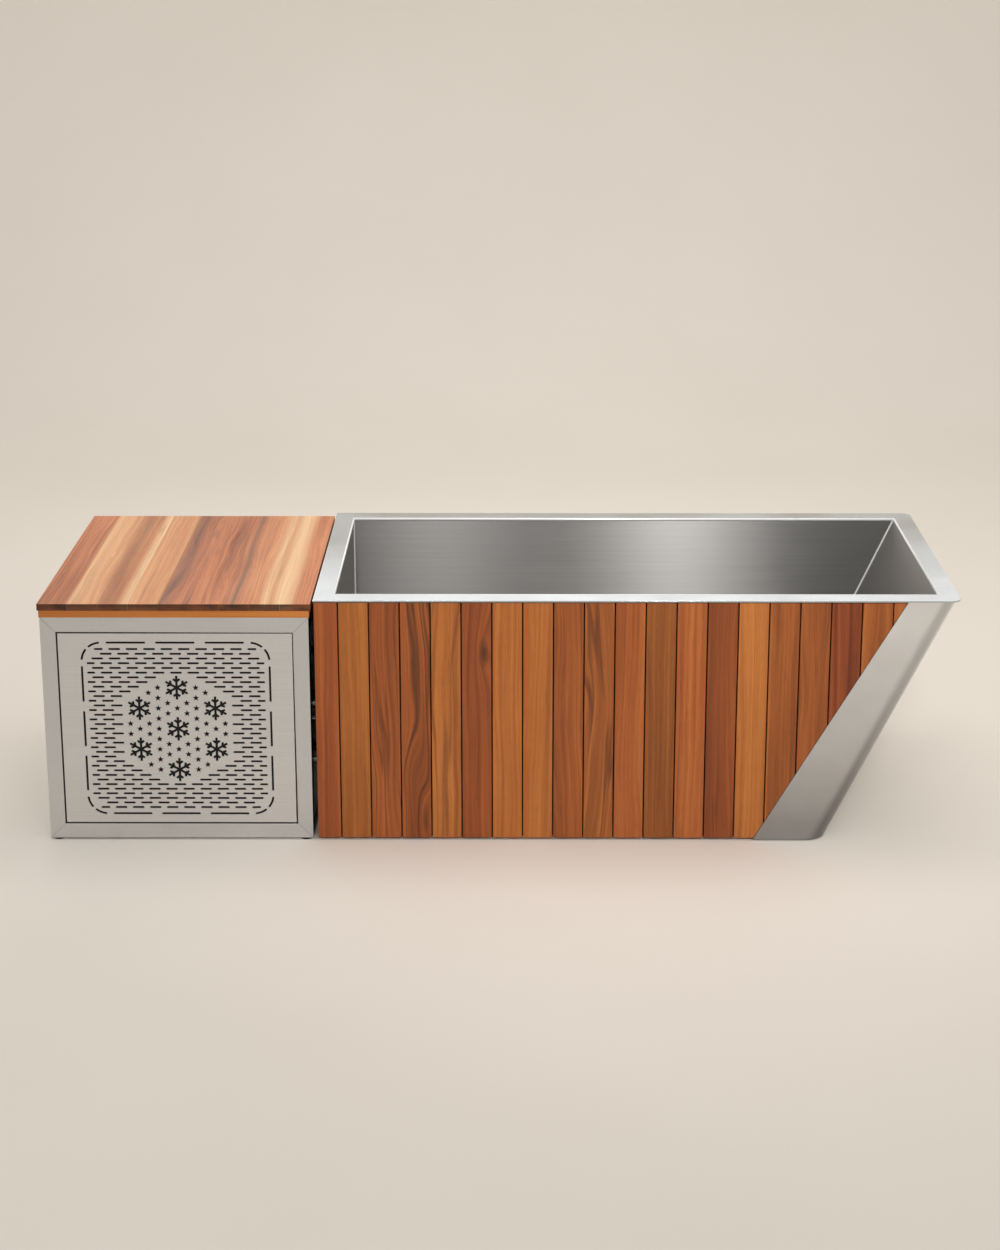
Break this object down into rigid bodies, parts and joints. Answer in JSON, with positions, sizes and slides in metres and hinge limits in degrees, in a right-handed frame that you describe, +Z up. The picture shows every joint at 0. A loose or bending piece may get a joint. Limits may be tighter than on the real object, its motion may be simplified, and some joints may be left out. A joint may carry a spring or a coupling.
{
  "type": "cold plunge tub",
  "caption": "Slatted stainless cold plunge tub with a sloped end, joined to a chiller cabinet with a hinged wooden top and a perforated door.",
  "frame": {"origin": "on the floor, in the middle of the outline of tub and cabinet", "axes": "+X from the cabinet to the sloped end, -Y to the front with the door, +Z up"},
  "size_m": [2.395, 0.79, 0.672],
  "materials": {
    "stainless_steel": "brushed",
    "slat_wood": "oiled",
    "plank_wood": "satin varnish",
    "board_wood": "oiled",
    "black_rubber": "matte",
    "black_plastic": "matte",
    "white_plastic": "satin",
    "clear_hose": "satin",
    "foam": "matte",
    "black_paint": "semi-gloss",
    "fin_aluminium": "mill",
    "copper": "drawn",
    "display_glass": "gloss"
  },
  "bodies": {
    "tub": {"back_panel": "stainless_steel", "back_slats": "slat_wood", "base_frame": "stainless_steel", "bulkhead_gaskets": "black_rubber", "bulkhead_locknuts": "white_plastic", "cabinet_back_frame": "stainless_steel", "cabinet_feet": "black_rubber", "cabinet_front_frame": "stainless_steel", "cabinet_side_rails": "stainless_steel", "compressor": "black_paint", "compressor_mounts": "black_rubber", "condenser": "fin_aluminium", "controller_box": "black_plastic", "display_window": "display_glass", "door_catch": "black_plastic", "door_pivot_pins": "stainless_steel", "drain_pipe": "white_plastic", "drain_valve": "white_plastic", "end_shell": "stainless_steel", "evaporator": "white_plastic", "fan_motor": "black_paint", "fan_shroud": "black_plastic", "filter_cartridge": "white_plastic", "filter_housing": "white_plastic", "floor_insulation": "foam", "floor_pan": "stainless_steel", "front_slats": "slat_wood", "joining_bolts": "stainless_steel", "left_end_panel": "black_plastic", "left_panel": "stainless_steel", "lid_hinge_frame_leaves": "stainless_steel", "lid_hinge_pins": "stainless_steel", "panel_screws": "stainless_steel", "power_inlet": "black_plastic", "pump_housing": "black_plastic", "pump_motor": "black_paint", "refrigerant_lines": "copper", "slat_battens": "board_wood", "tub_basin": "stainless_steel", "tub_feet": "black_rubber", "tub_rim": "stainless_steel", "wall_insulation": "foam", "wall_posts": "board_wood", "water_fittings": "white_plastic", "water_hoses": "clear_hose"},
    "lid": {"lid_planks": "plank_wood", "lid_base_board": "board_wood", "lid_hinge_lid_leaves": "stainless_steel"},
    "door": {"vent_door": "stainless_steel", "door_edge_frame": "stainless_steel", "dust_screen": "black_plastic", "door_pivot_bushes": "white_plastic", "door_strike": "stainless_steel"},
    "fan": {"fan_blades": "black_plastic"},
    "impeller": {"pump_impeller": "black_plastic"},
    "cap": {"filter_cap": "black_plastic"},
    "drain_lever": {"drain_handle": "black_plastic"},
    "power_button": {"button_power": "black_plastic"},
    "up_button": {"button_up": "black_plastic"},
    "down_button": {"button_down": "black_plastic"}
  },
  "joints": [
    {"name": "lid_hinge", "type": "hinge", "parent": "tub", "child": "lid", "pos_m": [-0.8435, 0.389, 0.6196], "axis": [-1, 0, 0], "range_deg": [0, 100]},
    {"name": "door_pivot", "type": "hinge", "parent": "tub", "child": "door", "pos_m": [-0.5505, -0.381, 0.3148], "axis": [0, 0, 1], "range_deg": [0, 110]},
    {"name": "fan_spin", "type": "hinge", "parent": "tub", "child": "fan", "pos_m": [-0.9205, -0.26, 0.224], "axis": [0, 1, 0], "continuous": true},
    {"name": "impeller_spin", "type": "hinge", "parent": "tub", "child": "impeller", "pos_m": [-0.6605, -0.08, 0.14], "axis": [1, 0, 0], "continuous": true},
    {"name": "filter_cap_turn", "type": "hinge", "parent": "tub", "child": "cap", "pos_m": [-0.6605, 0.16, 0.4], "axis": [0, 0, 1], "range_deg": [0, 90]},
    {"name": "drain_lever_turn", "type": "hinge", "parent": "tub", "child": "drain_lever", "pos_m": [-0.6025, 0.29, 0.14], "axis": [0, 0, -1], "range_deg": [0, 90]},
    {"name": "power_press", "type": "slide", "parent": "tub", "child": "power_button", "axis": [0, 0, -1], "range_m": [0, 0.0015], "stiffness_N_per_m": 200},
    {"name": "up_press", "type": "slide", "parent": "tub", "child": "up_button", "axis": [0, 0, -1], "range_m": [0, 0.0015], "stiffness_N_per_m": 200},
    {"name": "down_press", "type": "slide", "parent": "tub", "child": "down_button", "axis": [0, 0, -1], "range_m": [0, 0.0015], "stiffness_N_per_m": 200}
  ]
}
